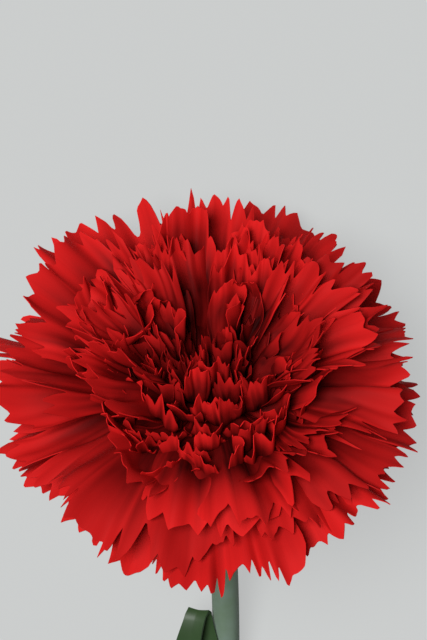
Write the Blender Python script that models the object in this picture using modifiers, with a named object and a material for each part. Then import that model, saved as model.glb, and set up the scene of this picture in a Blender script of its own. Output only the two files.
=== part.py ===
"""A cut double carnation lying on a flat surface.

The bloom is a calyx tube packed with petals. Thirty of them lie in one spiral round the bloom's
axis, from the drooping guard petals inwards, and eighteen more fill four small crowns that lean
out of the middle. Petals of a whorl lie on nested layers that never cross, so each petal is a
solid of its own. The bloom's weight rests on the guard petals, the neck curves down behind it,
and the stem runs along the surface to its cut end, with a pair of leaves at each of two joints.
"""

import math

import bmesh
import bpy
from mathutils import Matrix, Vector

MM = 0.001
GOLDEN_ANGLE = math.radians(137.508)

# The bloom, in its own frame: origin in the middle of the calyx mouth, +Z out of the flower.
BLOOM_TILT = math.radians(30)  # the bloom's axis above the surface
BLOOM_YAW = math.radians(3.5)  # and how far it points to the side of the stem
MOUTH_HEIGHT = 32.3 * MM
CLEAR_OF_SURFACE = 0.02 * MM
PETAL_THICKNESS = 0.3 * MM
CLAW_ROWS = 2
BEND_ROWS = 2
BLADE_ROWS = 4
PETAL_COLUMNS = 6
RUFFLE = 1.6 * MM  # height of the waves that run round the bloom, at RUFFLE_RADIUS
RUFFLE_RADIUS = 36 * MM
RUFFLE_WAVES = 13

# The calyx and what it holds
CALYX_DEPTH = 29 * MM
CALYX_WALL = 0.6 * MM
CALYX_TEETH = 5
TOOTH_HEIGHT = 5 * MM
CLAW_DEPTH = 25 * MM
RECEPTACLE_RADIUS = 4.9 * MM
OVARY_RADIUS = 2.0 * MM
OVARY_LENGTH = 9 * MM
STYLE_RADIUS = 0.4 * MM

# The stem, from the bloom back along the surface
STEM_RADIUS = 2.45 * MM
STEM_JOINT_RADIUS = 3.4 * MM
NECK_DROP = MOUTH_HEIGHT - CALYX_DEPTH * math.sin(BLOOM_TILT) - STEM_JOINT_RADIUS - CLEAR_OF_SURFACE
NECK_BEND_RADIUS = NECK_DROP / (1 - math.cos(BLOOM_TILT))
STEM_LENGTH = 140 * MM
STEM_YAW = math.radians(-2.5)
STEM_STEPS = 60
JOINT_DISTANCES = (45 * MM, 105 * MM)  # along the stem, from the calyx

# The leaves
LEAF_THICKNESS = 0.7 * MM
LEAF_LENGTH = 66 * MM
LEAF_HALF_WIDTH = 3.1 * MM

WHORLS = {
    "main": {
        "names": [("guard_petal", 10), ("outer_petal", 10), ("middle_petal", 10)],
        "start": -98,
        "lean": 0,
        "lean_azimuth": 0,
        "seat": 0,
        "rise": 0,
        "claw_radii": (7.5 * MM, 5.1 * MM),
        "bend_radius": 2.4 * MM,
        "elevations": (-15, 47),
        "front_drop": 27,
        "blades": (30 * MM, 31 * MM),
        "back_length": 4 * MM,
        "curl": 0.45,
        "spread": 27,
        "claw_half_width": 0.75 * MM,
    },
}
CROWN = {
    "seat": 2.9 * MM,
    "rise": 6 * MM,
    "claw_radii": (1.5 * MM, 0.9 * MM),
    "bend_radius": 3 * MM,
    "front_drop": 0,
    "back_length": 0,
    "curl": 0.15,
    "spread": 42,
    "claw_half_width": 0.5 * MM,
}
WHORLS["front"] = CROWN | {
    "names": [("front_crown_petal", 6)],
    "start": -100,
    "lean": 42,
    "lean_azimuth": -90,
    "elevations": (64, 84),
    "blades": (21 * MM, 22 * MM),
}
WHORLS["right"] = CROWN | {
    "names": [("right_crown_petal", 4)],
    "start": -20,
    "lean": 19,
    "lean_azimuth": -12,
    "elevations": (76, 86),
    "blades": (23 * MM, 24 * MM),
}
WHORLS["left"] = CROWN | {
    "names": [("left_crown_petal", 4)],
    "start": 190,
    "lean": 26,
    "lean_azimuth": 190,
    "elevations": (76, 86),
    "blades": (22 * MM, 23 * MM),
}
WHORLS["back"] = CROWN | {
    "names": [("back_crown_petal", 4)],
    "start": 90,
    "lean": 25,
    "lean_azimuth": 90,
    "elevations": (77, 86),
    "blades": (23 * MM, 23 * MM),
}
CROWN_CLAW_DEPTH = 14 * MM
CROWN_BEND_RADIUS = 9 * MM


def clear_scene():
    for obj in list(bpy.data.objects):
        bpy.data.objects.remove(obj)


def material(name, colour, roughness):
    made = bpy.data.materials.new(name)
    made.use_nodes = True
    shader = made.node_tree.nodes["Principled BSDF"]
    shader.inputs["Base Color"].default_value = (*colour, 1)
    shader.inputs["Roughness"].default_value = roughness
    shader.inputs["Metallic"].default_value = 0
    return made


def mix(start, end, share):
    return start + (end - start) * share


def shell_from_grid(name, columns, rows, place, thickness, finish, parent, closed_round=False):
    """A sheet: place(across, along) maps each grid corner, and Solidify gives it its thickness."""
    mesh = bpy.data.meshes.new(name)
    grid = bmesh.new()
    bmesh.ops.create_grid(grid, x_segments=columns, y_segments=rows, size=1)
    for corner in grid.verts:
        corner.co = place(corner.co.x, (corner.co.y + 1) / 2)
    if closed_round:
        bmesh.ops.remove_doubles(grid, verts=grid.verts, dist=0.01 * MM)
    grid.to_mesh(mesh)
    grid.free()
    mesh.shade_smooth()
    mesh.materials.append(finish)
    obj = bpy.data.objects.new(name, mesh)
    flower.objects.link(obj)
    obj.parent = parent
    solid = obj.modifiers.new("thickness", "SOLIDIFY")
    solid.thickness = thickness
    solid.offset = 0
    return obj


def layer_elevation(whorl, depth, azimuth):
    """The angle at which a layer leaves the mouth. Inner layers rise less towards the front crown."""
    low, high = whorl["elevations"]
    top = high - whorl["front_drop"] * (0.5 - 0.5 * math.sin(azimuth)) ** 2
    return math.radians(mix(low, top, depth**1.15))


def layer_bend(whorl, depth, azimuth):
    """The radius of the bend by which a layer leaves the tube, and the angle it turns through."""
    bend = whorl["claw_radii"][0] + whorl["bend_radius"] - mix(*whorl["claw_radii"], depth)
    return bend, math.pi / 2 - layer_elevation(whorl, depth, azimuth)


def layer_point(whorl, depth, azimuth, along):
    """A point on layer 0 (outermost) to 1, at a distance along it from where its claw ends, below
    zero on the claw. The layer climbs the tube, bends over, and then curls gently outwards."""
    claw_radius = mix(*whorl["claw_radii"], depth)
    if along <= 0:
        return claw_radius * (1 + 0.22 * along / CLAW_DEPTH), whorl["rise"] + along
    bend_centre = whorl["claw_radii"][0] + whorl["bend_radius"]
    curl = math.radians(whorl["curl"]) / MM
    bend, turn = layer_bend(whorl, depth, azimuth)
    elevation = math.pi / 2 - turn
    if along < bend * turn:
        angle = along / bend
        return bend_centre - bend * math.cos(angle), whorl["rise"] + bend * math.sin(angle)
    radius = bend_centre - bend * math.cos(turn)
    height = whorl["rise"] + bend * math.sin(turn)
    angle = elevation - curl * (along - bend * turn)
    radius += (math.sin(elevation) - math.sin(angle)) / curl
    height += (math.cos(angle) - math.cos(elevation)) / curl
    return radius, height


def lean_out(whorl, radius, azimuth, height):
    """Carries a point round a crown's own straight axis onto its axis as it leans out of the bloom."""
    heading = math.radians(whorl["lean_azimuth"])
    lean = math.radians(whorl["lean"])
    angle = min(max(height / CROWN_BEND_RADIUS, 0), lean)
    out = Vector((math.cos(heading), math.sin(heading), 0))
    up = Vector((0, 0, 1))
    side = up.cross(out)
    tangent = out * math.sin(angle) + up * math.cos(angle)
    outwards = out * math.cos(angle) - up * math.sin(angle)
    centre = out * whorl["seat"] + up * min(height, 0)
    centre += out * CROWN_BEND_RADIUS * (1 - math.cos(angle)) + up * CROWN_BEND_RADIUS * math.sin(angle)
    centre += tangent * max(height - CROWN_BEND_RADIUS * lean, 0)
    turned = azimuth - heading
    return centre + outwards * radius * math.cos(turned) + side * radius * math.sin(turned)


def ruffled(point):
    """Lifts and drops every layer alike in waves round the bloom, so that none meets the next."""
    share = math.hypot(point.x, point.y) / RUFFLE_RADIUS
    waves = math.sin(RUFFLE_WAVES * math.atan2(point.y, point.x))
    return point + Vector((0, 0, RUFFLE * share**2 * waves))


def on_surface(point):
    """Stops a point of the bloom at the surface it rests on, where the lowest guard petal flattens."""
    lowest = PETAL_THICKNESS / 2 + CLEAR_OF_SURFACE
    height = MOUTH_HEIGHT + point.z * math.sin(BLOOM_TILT) - point.y * math.cos(BLOOM_TILT)
    return point - Vector((0, max(lowest - height, 0) / math.cos(BLOOM_TILT), 0))


def petal(name, whorl, depth, azimuth, claw_depth, finish, parent):
    """A narrow claw that opens into a fan with a toothed margin."""
    spread = math.radians(whorl["spread"])
    claw_radius = whorl["claw_radii"][0]
    rows = CLAW_ROWS + BEND_ROWS + BLADE_ROWS
    bend, turn = layer_bend(whorl, depth, azimuth)

    def place(across, row):
        tooth = 0.05 * math.cos(3 * math.pi * across)
        blade = mix(*whorl["blades"], depth) + whorl["back_length"] * max(math.sin(azimuth), 0) * depth
        blade *= 1 - 0.1 * across * across + tooth
        row = round(row * rows)
        if row <= CLAW_ROWS:
            along = -claw_depth * (1 - row / CLAW_ROWS)
        elif row <= CLAW_ROWS + BEND_ROWS:
            along = bend * turn * (row - CLAW_ROWS) / BEND_ROWS
        else:
            along = mix(bend * turn, blade, (row - CLAW_ROWS - BEND_ROWS) / BLADE_ROWS)
        radius = layer_point(whorl, depth, azimuth, along)[0]
        claw_angle = whorl["claw_half_width"] / max(radius, claw_radius)
        opened = min(max((radius - claw_radius) / (1.6 * claw_radius), 0), 1)
        around = azimuth + across * mix(claw_angle, spread, opened)
        radius, height = layer_point(whorl, depth, around, along)
        return on_surface(ruffled(lean_out(whorl, radius, around, height)))

    return shell_from_grid(name, PETAL_COLUMNS, rows, place, PETAL_THICKNESS, finish, parent)


def petals(finish, parent):
    for whorl in WHORLS.values():
        total = sum(count for _, count in whorl["names"])
        claw_depth = CROWN_CLAW_DEPTH + whorl["rise"] if whorl["lean"] else CLAW_DEPTH
        order = 0
        for stem_name, count in whorl["names"]:
            for number in range(1, count + 1):
                azimuth = math.radians(whorl["start"]) + order * GOLDEN_ANGLE
                depth = order / (total - 1)
                petal(f"{stem_name}_{number}", whorl, depth, azimuth, claw_depth, finish, parent)
                order += 1


def calyx(finish, parent):
    """A green tube with five pointed teeth, closed in round the receptacle at its foot."""
    mouth_radius = WHORLS["main"]["claw_radii"][0] + 0.9 * MM
    foot_radius = STEM_RADIUS + 1.3 * MM
    belly_radius = 7.2 * MM

    def place(across, along):
        azimuth = math.pi * across
        from_tooth = abs((CALYX_TEETH * azimuth / (2 * math.pi)) % 1 - 0.5) * 2
        top = -4 * MM + TOOTH_HEIGHT * from_tooth
        along **= 1.6
        height = mix(-CALYX_DEPTH, top, along)
        risen = min(along / 0.16, 1)
        radius = mix(foot_radius, belly_radius, math.sin(risen * math.pi / 2))
        radius = mix(radius, mouth_radius, max(along - 0.16, 0) / 0.84)
        return Vector((radius * math.cos(azimuth), radius * math.sin(azimuth), height))

    return shell_from_grid("calyx", 30, 8, place, CALYX_WALL, finish, parent, closed_round=True)


def bracts(finish, parent):
    """Four broad pointed scales that clasp the foot of the calyx, two outside the other two."""
    for number in range(4):
        middle = math.radians(45 + 90 * number)
        reach = 11 * MM if number % 2 else 9 * MM

        def place(across, along, middle=middle, reach=reach):
            half_angle = math.radians(41) * (1 - along**2.2) + math.radians(2)
            azimuth = middle + across * half_angle
            radius = 5.6 * MM + 2.9 * MM * math.sin(min(along * 2.2, 1) * math.pi / 2)
            height = -CALYX_DEPTH - 0.4 * MM + reach * along
            return Vector((radius * math.cos(azimuth), radius * math.sin(azimuth), height))

        shell_from_grid(f"bract_{number + 1}", 4, 5, place, 0.5 * MM, finish, parent)


def curve_object(name, points, radii, bevel_resolution):
    """A round rod through the points, as thick at each as its radius says."""
    curve = bpy.data.curves.new(name, "CURVE")
    curve.dimensions = "3D"
    curve.bevel_depth = 1
    curve.bevel_resolution = bevel_resolution
    curve.use_fill_caps = True
    spline = curve.splines.new("POLY")
    spline.points.add(len(points) - 1)
    for point, place, radius in zip(spline.points, points, radii):
        point.co = (*place, 1)
        point.radius = radius
    obj = bpy.data.objects.new(name, curve)
    flower.objects.link(obj)
    return obj


def mesh_of(obj):
    """Replaces a curve with its closed mesh, so that a Boolean can read it."""
    bpy.context.view_layer.update()
    graph = bpy.context.evaluated_depsgraph_get()
    mesh = bpy.data.meshes.new_from_object(obj.evaluated_get(graph))
    closed = bmesh.new()
    closed.from_mesh(mesh)
    bmesh.ops.remove_doubles(closed, verts=closed.verts, dist=0.01 * MM)
    closed.to_mesh(mesh)
    closed.free()
    made = bpy.data.objects.new(obj.name, mesh)
    made.matrix_world = obj.matrix_world.copy()
    bpy.data.objects.remove(obj)
    return made


def pistil(finish, parent):
    """The ovary at the foot of the calyx, with the two styles that rise from it."""
    ovary_foot = -CLAW_DEPTH + 0.6 * MM
    mesh = bpy.data.meshes.new("pistil")
    ball = bmesh.new()
    bmesh.ops.create_uvsphere(ball, u_segments=12, v_segments=8, radius=1)
    for corner in ball.verts:
        corner.co.x *= OVARY_RADIUS
        corner.co.y *= OVARY_RADIUS
        corner.co.z = ovary_foot + OVARY_LENGTH / 2 * (1 + corner.co.z)
    ball.to_mesh(mesh)
    ball.free()
    mesh.shade_smooth()
    mesh.materials.append(finish)
    ovary = bpy.data.objects.new("pistil", mesh)
    flower.objects.link(ovary)
    ovary.parent = parent
    for number, side in enumerate((-1, 1), start=1):
        start = ovary_foot + OVARY_LENGTH - 1.5 * MM
        heights = [start + step * (21 * MM - start) / 7 for step in range(8)]
        points = []
        for height in heights:
            apart = 0.55 * MM + 3 * MM * max(height / (21 * MM), 0) ** 3
            points.append(Vector((side * apart, side * apart * 0.4, height)))
        rod = curve_object(f"style_{number}", points, [STYLE_RADIUS] * 8, 1)
        style = mesh_of(rod)
        style.parent = parent
        style.hide_render = True
        style.display_type = "WIRE"
        helpers.objects.link(style)
        joined = ovary.modifiers.new(style.name, "BOOLEAN")
        joined.operation = "UNION"
        joined.solver = "EXACT"
        joined.object = style
    return ovary


def direction(pitch, yaw):
    """The way the bloom faces when it points up by pitch and aside by yaw."""
    return Vector((math.sin(yaw) * math.cos(pitch), -math.cos(yaw) * math.cos(pitch), math.sin(pitch)))


def stem_point(behind):
    """The stem's middle at a distance behind the calyx, as the neck bends down to the surface."""
    spot = Vector((0, 0, MOUTH_HEIGHT)) - direction(BLOOM_TILT, BLOOM_YAW) * CALYX_DEPTH
    if behind < 0:
        return spot - direction(BLOOM_TILT, BLOOM_YAW) * behind
    for step in range(STEM_STEPS):
        share = min(behind * (step + 0.5) / STEM_STEPS / (NECK_BEND_RADIUS * BLOOM_TILT), 1)
        ahead = direction(mix(BLOOM_TILT, 0, share), mix(BLOOM_YAW, STEM_YAW, share))
        spot -= ahead * behind / STEM_STEPS
    return spot


def stem(finish, parent):
    """The stem swells at each joint and widens into the receptacle inside the calyx."""
    places = [-2.4 * MM, -1.7 * MM, -0.9 * MM, 0.0, 3 * MM]
    places += [STEM_LENGTH * step / 20 for step in range(1, 21)]
    for distance in JOINT_DISTANCES:
        places += [distance - 2.5 * MM, distance, distance + 2.5 * MM]
    places.sort()
    widths = {-2.4 * MM: RECEPTACLE_RADIUS, -1.7 * MM: RECEPTACLE_RADIUS, -0.9 * MM: 4.2 * MM, 0.0: 3.1 * MM}
    widths |= {distance: STEM_JOINT_RADIUS for distance in JOINT_DISTANCES}
    points = [stem_point(place) for place in places]
    radii = [widths.get(place, STEM_RADIUS) for place in places]
    rod = curve_object("stem", points, radii, 3)
    rod.data.materials.append(finish)
    rod.parent = parent


def leaf(name, joint, out_angle, turns, twist, drift, finish, parent):
    """A narrow channelled leaf. It leaves the joint towards the bloom and recurves: turns are its
    angles in degrees from the stem, evenly spaced from its foot to its tip, twist is how far its face
    has turned round by the tip, and drift is how far the tip has moved to the leaf's side."""
    foot = stem_point(joint)
    toward = (stem_point(joint - 1 * MM) - foot).normalized()
    out = Vector((math.cos(out_angle), 0, math.sin(out_angle)))
    out = (out - toward * out.dot(toward)).normalized()
    side = toward.cross(out)
    steps = 24
    middle = foot + out * (STEM_JOINT_RADIUS + 0.8 * MM)
    line = [middle.copy()]
    for step in range(steps):
        part, share = divmod((len(turns) - 1) * (step + 0.5) / steps, 1)
        angle = math.radians(mix(turns[int(part)], turns[int(part) + 1], share))
        middle += (toward * math.cos(angle) + out * math.sin(angle)) * LEAF_LENGTH / steps
        middle.z = max(middle.z, LEAF_THICKNESS / 2 + CLEAR_OF_SURFACE)
        line.append(middle - side * drift * (step + 1) / steps)

    def place(across, along):
        step = round(along * steps)
        ahead = (line[min(step + 1, steps)] - line[max(step - 1, 0)]).normalized()
        width = Matrix.Rotation(math.radians(twist) * along, 3, ahead) @ side
        face = width.cross(ahead).normalized()
        half = LEAF_HALF_WIDTH * (1 - along**2.4) + 0.25 * MM
        channel = 0.9 * MM * across * across * (1 - along)
        spot = line[step] + width * across * half - face * channel
        spot.z = max(spot.z, LEAF_THICKNESS / 2 + CLEAR_OF_SURFACE)
        return spot

    shell_from_grid(name, 4, steps, place, LEAF_THICKNESS, finish, parent)


def leaves(finish, parent):
    upper, lower = JOINT_DISTANCES
    folded = (2, 3, 5, 8, 30, 160, 180, 182, 182, 185, 192, 200, 208)
    leaf("upper_leaf_left", upper, math.radians(72), folded, 0, 9 * MM, finish, parent)
    leaf("upper_leaf_right", upper, math.radians(190), (35, 75, 100, 125, 150), -70, 0, finish, parent)
    leaf("lower_leaf_left", lower, math.radians(-12), (15, 45, 70, 90, 115), 65, 0, finish, parent)
    leaf("lower_leaf_right", lower, math.radians(150), (10, 30, 60, 90, 130), -50, 0, finish, parent)


def centre_on_surface(frame):
    """Moves the whole flower so that the bottom middle of its box is the origin."""
    bpy.context.view_layer.update()
    graph = bpy.context.evaluated_depsgraph_get()
    corners = []
    for obj in flower.objects:
        shown = obj.evaluated_get(graph)
        mesh = shown.to_mesh()
        corners += [shown.matrix_world @ corner.co for corner in mesh.vertices]
        shown.to_mesh_clear()
    low = Vector(min(corner[axis] for corner in corners) for axis in range(3))
    high = Vector(max(corner[axis] for corner in corners) for axis in range(3))
    middle = (low + high) / 2
    frame.location = (-middle.x, -middle.y, -low.z)


clear_scene()
flower = bpy.data.collections.new("cut_carnation")
bpy.context.scene.collection.children.link(flower)
helpers = bpy.data.collections.new("helpers")
bpy.context.scene.collection.children.link(helpers)

petal_red = material("petal_red", (0.55, 0.006, 0.01), 0.55)
calyx_green = material("calyx_green", (0.11, 0.2, 0.09), 0.5)
stem_green = material("stem_green", (0.15, 0.24, 0.15), 0.5)
leaf_green = material("leaf_green", (0.07, 0.15, 0.06), 0.45)
pistil_cream = material("pistil_cream", (0.62, 0.66, 0.45), 0.5)

surface = bpy.data.objects.new("surface", None)
bpy.context.scene.collection.objects.link(surface)
bloom = bpy.data.objects.new("bloom", None)
bpy.context.scene.collection.objects.link(bloom)
bloom.parent = surface
bloom.location = (0, 0, MOUTH_HEIGHT)
bloom.rotation_euler = (BLOOM_TILT - math.pi / 2, 0, math.pi + BLOOM_YAW)

petals(petal_red, bloom)
calyx(calyx_green, bloom)
bracts(calyx_green, bloom)
pistil(pistil_cream, bloom)
stem(stem_green, surface)
leaves(leaf_green, surface)
centre_on_surface(surface)
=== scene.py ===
import functools
import math
import random

import bmesh
import bpy
from mathutils import Matrix, Vector


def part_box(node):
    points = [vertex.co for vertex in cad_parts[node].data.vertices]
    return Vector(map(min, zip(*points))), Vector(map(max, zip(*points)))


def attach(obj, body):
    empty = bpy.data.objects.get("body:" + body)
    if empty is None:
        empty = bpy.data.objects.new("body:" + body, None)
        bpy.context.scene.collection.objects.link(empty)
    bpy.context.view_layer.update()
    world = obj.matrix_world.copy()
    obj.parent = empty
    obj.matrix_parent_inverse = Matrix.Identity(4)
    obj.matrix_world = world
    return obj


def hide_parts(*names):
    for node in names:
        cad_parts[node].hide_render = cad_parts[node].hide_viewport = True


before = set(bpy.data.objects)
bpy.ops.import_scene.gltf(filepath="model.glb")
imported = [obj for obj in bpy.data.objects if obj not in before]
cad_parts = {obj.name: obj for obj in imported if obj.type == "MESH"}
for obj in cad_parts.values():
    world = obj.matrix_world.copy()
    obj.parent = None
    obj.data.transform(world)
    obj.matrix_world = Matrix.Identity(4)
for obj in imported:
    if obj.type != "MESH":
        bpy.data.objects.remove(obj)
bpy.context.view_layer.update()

mm = 0.001
goldenAngle = 137.508
goldenShare = 0.618
sharpAngle = math.radians(50)


# ---- small helpers

def linear(hexColour):
    # sRGB hex to the linear colour that shaders take
    parts = [int(hexColour[i:i + 2], 16) / 255 for i in (1, 3, 5)]
    return tuple(c / 12.92 if c <= 0.04045 else ((c + 0.055) / 1.055) ** 2.4 for c in parts) + (1,)


def mix(start, end, share):
    return start + (end - start) * share


def smooth(start, end, value):
    share = min(max((value - start) / (end - start), 0), 1)
    return share * share * (3 - 2 * share)


def sine(degrees):
    return math.sin(math.radians(degrees))


def cosine(degrees):
    return math.cos(math.radians(degrees))


def add(tree, kind, inputs=(), **settings):
    # one node with its settings, its values and its links; a kind in capitals is a math operation
    if kind.isupper():
        kind, settings["operation"] = "ShaderNodeMath", kind
    node = tree.nodes.new(kind)
    for name, value in settings.items():
        setattr(node, name, value)
    pairs = inputs.items() if isinstance(inputs, dict) else enumerate(inputs)
    for key, value in pairs:
        if isinstance(value, bpy.types.Node):
            value = value.outputs[0]
        if isinstance(value, bpy.types.NodeSocket):
            tree.links.new(value, node.inputs[key])
        else:
            node.inputs[key].default_value = value
    return node


def ramp(tree, value, stops):
    # a colour ramp through hex colours or plain numbers at their places
    node = add(tree, "ShaderNodeValToRGB", {"Fac": value})
    while len(node.color_ramp.elements) < len(stops):
        node.color_ramp.elements.new(0.5)
    for element, (place, colour) in zip(node.color_ramp.elements, stops):
        element.position = place
        element.color = linear(colour) if isinstance(colour, str) else (colour, colour, colour, 1)
    return node


def finish(obj, material):
    # a finished piece: one material, smooth but for its sharp edges
    obj.data.materials.clear()
    obj.data.materials.append(material)
    obj.data.shade_smooth()
    obj.data.set_sharp_from_angle(angle=sharpAngle)


def plain(obj):
    # the evaluated object as a plain mesh with no modifiers left
    bpy.context.view_layer.update()
    graph = bpy.context.evaluated_depsgraph_get()
    mesh = bpy.data.meshes.new_from_object(obj.evaluated_get(graph))
    mesh.name = obj.name
    obj.modifiers.clear()
    old = obj.data
    obj.data = mesh
    bpy.data.meshes.remove(old)


def skin(name, columns, rows, place, thickness=0.0, closedRound=False):
    # a sheet or a tube: place(across, along) maps each corner of a grid, both from 0 to 1
    mesh = bpy.data.meshes.new(name)
    grid = bmesh.new()
    bmesh.ops.create_grid(grid, x_segments=columns, y_segments=rows, size=0.5, calc_uvs=True)
    uv = grid.loops.layers.uv.verify()
    for face in grid.faces:
        for loop in face.loops:
            loop[uv].uv = (loop.vert.co.x + 0.5, loop.vert.co.y + 0.5)
    for corner in grid.verts:
        corner.co = place(corner.co.x + 0.5, corner.co.y + 0.5)
    if closedRound:
        bmesh.ops.remove_doubles(grid, verts=grid.verts, dist=0.002 * mm)
        if not thickness:
            bmesh.ops.recalc_face_normals(grid, faces=grid.faces)
    grid.to_mesh(mesh)
    grid.free()
    obj = bpy.data.objects.new(name, mesh)
    bpy.context.scene.collection.objects.link(obj)
    if thickness:
        solid = obj.modifiers.new("thickness", "SOLIDIFY")
        solid.thickness = thickness
        solid.offset = 0
        plain(obj)
    return obj


# ---- where the bloom is

bloomPlace = {
    "tilt": math.radians(30),  # its axis above the surface
    "yaw": math.radians(3.5),
    "mouthFromCalyxMiddle": (0.14 * mm, -11.09 * mm, 5.77 * mm),
    "calyxDepth": 29 * mm,
}

calyxLow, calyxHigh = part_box("calyx")
mouth = (calyxLow + calyxHigh) / 2 + Vector(bloomPlace["mouthFromCalyxMiddle"])
bloomTurn = (bloomPlace["tilt"] - math.pi / 2, 0, math.pi + bloomPlace["yaw"])
bloomMatrix = (Matrix.Translation(mouth) @ Matrix.Rotation(bloomTurn[2], 4, "Z")
               @ Matrix.Rotation(bloomTurn[0], 4, "X"))


def inBloom(radius, angle, height):
    # a place at this radius and angle round the bloom's axis, and this height over its mouth
    return bloomMatrix @ Vector((radius * math.cos(angle), radius * math.sin(angle), height))


# ---- camera

cameraSetup = {
    "elevation": 78,
    "distance": 0.42,
    "lens": 140,
    "aimAbove": 14.0 * mm,  # how far past the mouth the camera aims, towards the top of its frame
    "aimAside": 0.15 * mm,
    "nearest": 0.01,
}

toCamera = Vector((0, -cosine(cameraSetup["elevation"]), sine(cameraSetup["elevation"])))
cameraRight = Vector((0, -1, 0)).cross(toCamera).normalized()
cameraUp = toCamera.cross(cameraRight)
aim = mouth + cameraUp * cameraSetup["aimAbove"] + cameraRight * cameraSetup["aimAside"]
spot = aim + toCamera * cameraSetup["distance"]
camera = bpy.data.objects.new("camera", bpy.data.cameras.new("camera"))
camera.data.lens = cameraSetup["lens"]
camera.data.clip_start = cameraSetup["nearest"]
cameraTurn = Matrix((cameraRight, cameraUp, toCamera)).transposed().to_4x4()
camera.matrix_world = Matrix.Translation(spot) @ cameraTurn
bpy.context.scene.collection.objects.link(camera)
bpy.context.scene.camera = camera
print("camera set")


# ---- materials

def newMaterial(name, values):
    material = bpy.data.materials.new(name)
    material.use_nodes = True
    tree = material.node_tree
    tree.nodes.clear()
    shader = add(tree, "ShaderNodeBsdfPrincipled", values)
    out = add(tree, "ShaderNodeOutputMaterial", (shader,))
    return material, tree, shader, out


def petalMaterial():
    # Fresh petal: matt and velvety, a saturated red with fine veins along it, a little light coming through;
    # painted shade darkens it away from its margin, deep inside the bloom, and at the bloom's sides and right.
    material, tree, shader, out = newMaterial("freshPetal", {"Roughness": 0.62, "Specular IOR Level": 0.04})
    uv = add(tree, "ShaderNodeUVMap", uv_map="petalUv")
    tone = add(tree, "ShaderNodeAttribute", attribute_name="petalTone")
    stretched = add(tree, "ShaderNodeMapping", {"Vector": uv, "Scale": (42, 1.6, 1)})
    veins = add(tree, "ShaderNodeTexNoise", {"Vector": stretched, "Scale": 1.0, "Detail": 3.0})
    patches = add(tree, "ShaderNodeMapping", {"Vector": uv, "Scale": (3, 2.4, 1)})
    clouds = add(tree, "ShaderNodeTexNoise", {"Vector": patches, "Scale": 1.0, "Detail": 2.0})
    depth = add(tree, "ShaderNodeAttribute", attribute_name="petalDepth")
    # painted shade: the petal's red at its margin, darkening to near black where the painted shade is deepest
    along = ramp(tree, depth.outputs["Fac"], [
        (0, "#c61b1b"), (0.2, "#aa1515"), (0.45, "#6c0b0b"), (0.7, "#2c0404"), (1, "#080101")])
    darker = ramp(tree, veins, [(0.4, 0.0), (0.62, 0.14)])
    veined = add(tree, "ShaderNodeMixRGB", {"Fac": darker, "Color1": along, "Color2": linear("#82090b")})
    toneAndPaintedShade = add(tree, "MULTIPLY_ADD", (tone.outputs["Fac"], 0.3, 0.84))  # each petal's own random tone, with painted shade on the bloom's sides and right
    toned = add(tree, "ShaderNodeHueSaturation", {"Value": toneAndPaintedShade, "Color": veined})
    brighter = ramp(tree, clouds, [(0.35, 0.0), (0.7, 0.3)])
    cloudy = add(tree, "ShaderNodeMixRGB", {"Fac": brighter, "Color1": toned, "Color2": linear("#d8201f")})
    tree.links.new(cloudy.outputs[0], shader.inputs["Base Color"])
    bump = add(tree, "ShaderNodeBump", {"Height": veins, "Strength": 0.2, "Distance": 0.1 * mm})
    tree.links.new(bump.outputs[0], shader.inputs["Normal"])
    glow = add(tree, "ShaderNodeBsdfTranslucent", {"Color": linear("#c80f0e"), "Normal": bump})
    both = add(tree, "ShaderNodeMixShader", (0.1, shader, glow))
    tree.links.new(both.outputs[0], out.inputs[0])
    return material


def greenMaterial(name, dark, light, waxColour, waxAmount, roughness, lines, groove=0.0, cut=0.0):
    # Living green tissue under a thin grey wax, with fine lines along it that the wax half hides,
    # on a leaf a pale groove down its middle, and on the stem's cut face its pale pith.
    material, tree, shader, _ = newMaterial(name, {"Roughness": roughness, "Specular IOR Level": 0.4})
    uv = add(tree, "ShaderNodeUVMap", uv_map="UVMap")
    solid = add(tree, "ShaderNodeTexCoord").outputs["Object"]
    lined = add(tree, "ShaderNodeMapping", {"Vector": uv, "Scale": (lines, 2, 1)})
    streaks = add(tree, "ShaderNodeTexNoise", {"Vector": lined, "Scale": 1.0, "Detail": 3.0})
    wax = add(tree, "ShaderNodeTexNoise", {"Vector": solid, "Scale": 220.0, "Detail": 4.0})
    base = ramp(tree, streaks, [(0.3, dark), (0.7, light)])
    place = add(tree, "ShaderNodeSeparateXYZ", (uv,)).outputs
    grooved = ramp(tree, place["X"], [(0.4, 0.0), (0.48, groove), (0.53, groove), (0.58, 0.0)])
    base = add(tree, "ShaderNodeMixRGB", {"Fac": grooved, "Color1": base, "Color2": linear("#8ea07c")})
    waxy = ramp(tree, wax, [(0.3, waxAmount * 0.4), (0.7, waxAmount)])
    waxed = add(tree, "ShaderNodeMixRGB", {"Fac": waxy, "Color1": base, "Color2": linear(waxColour)})
    pith = ramp(tree, place["Y"], [(0.9955, 0.0), (0.997, cut)])
    waxed = add(tree, "ShaderNodeMixRGB", {"Fac": pith, "Color1": waxed, "Color2": linear("#a9b98a")})
    tree.links.new(waxed.outputs[0], shader.inputs["Base Color"])
    bump = add(tree, "ShaderNodeBump", {"Height": streaks, "Strength": 0.3, "Distance": 0.1 * mm})
    tree.links.new(bump.outputs[0], shader.inputs["Normal"])
    return material


freshPetal = petalMaterial()
waxyStem = greenMaterial("waxyStem", "#40583a", "#5a704d", "#6c7c75", 0.75, 0.6, 26, cut=1.0)
waxyCalyx = greenMaterial("waxyCalyx", "#4f7340", "#76965a", "#8fa68a", 0.45, 0.5, 60)
waxyLeaf = greenMaterial("waxyLeaf", "#0d2008", "#254016", "#4d6b46", 0.2, 0.5, 22, 0.7)
# the style's colours are darkened with painted shade, as it stands deep in the bloom's cleft
styleWithPaintedShade = greenMaterial("styleWithPaintedShade", "#573733", "#76524c", "#8a6a64", 0.3, 0.5, 6)
print("materials made")


# ---- petals

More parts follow.
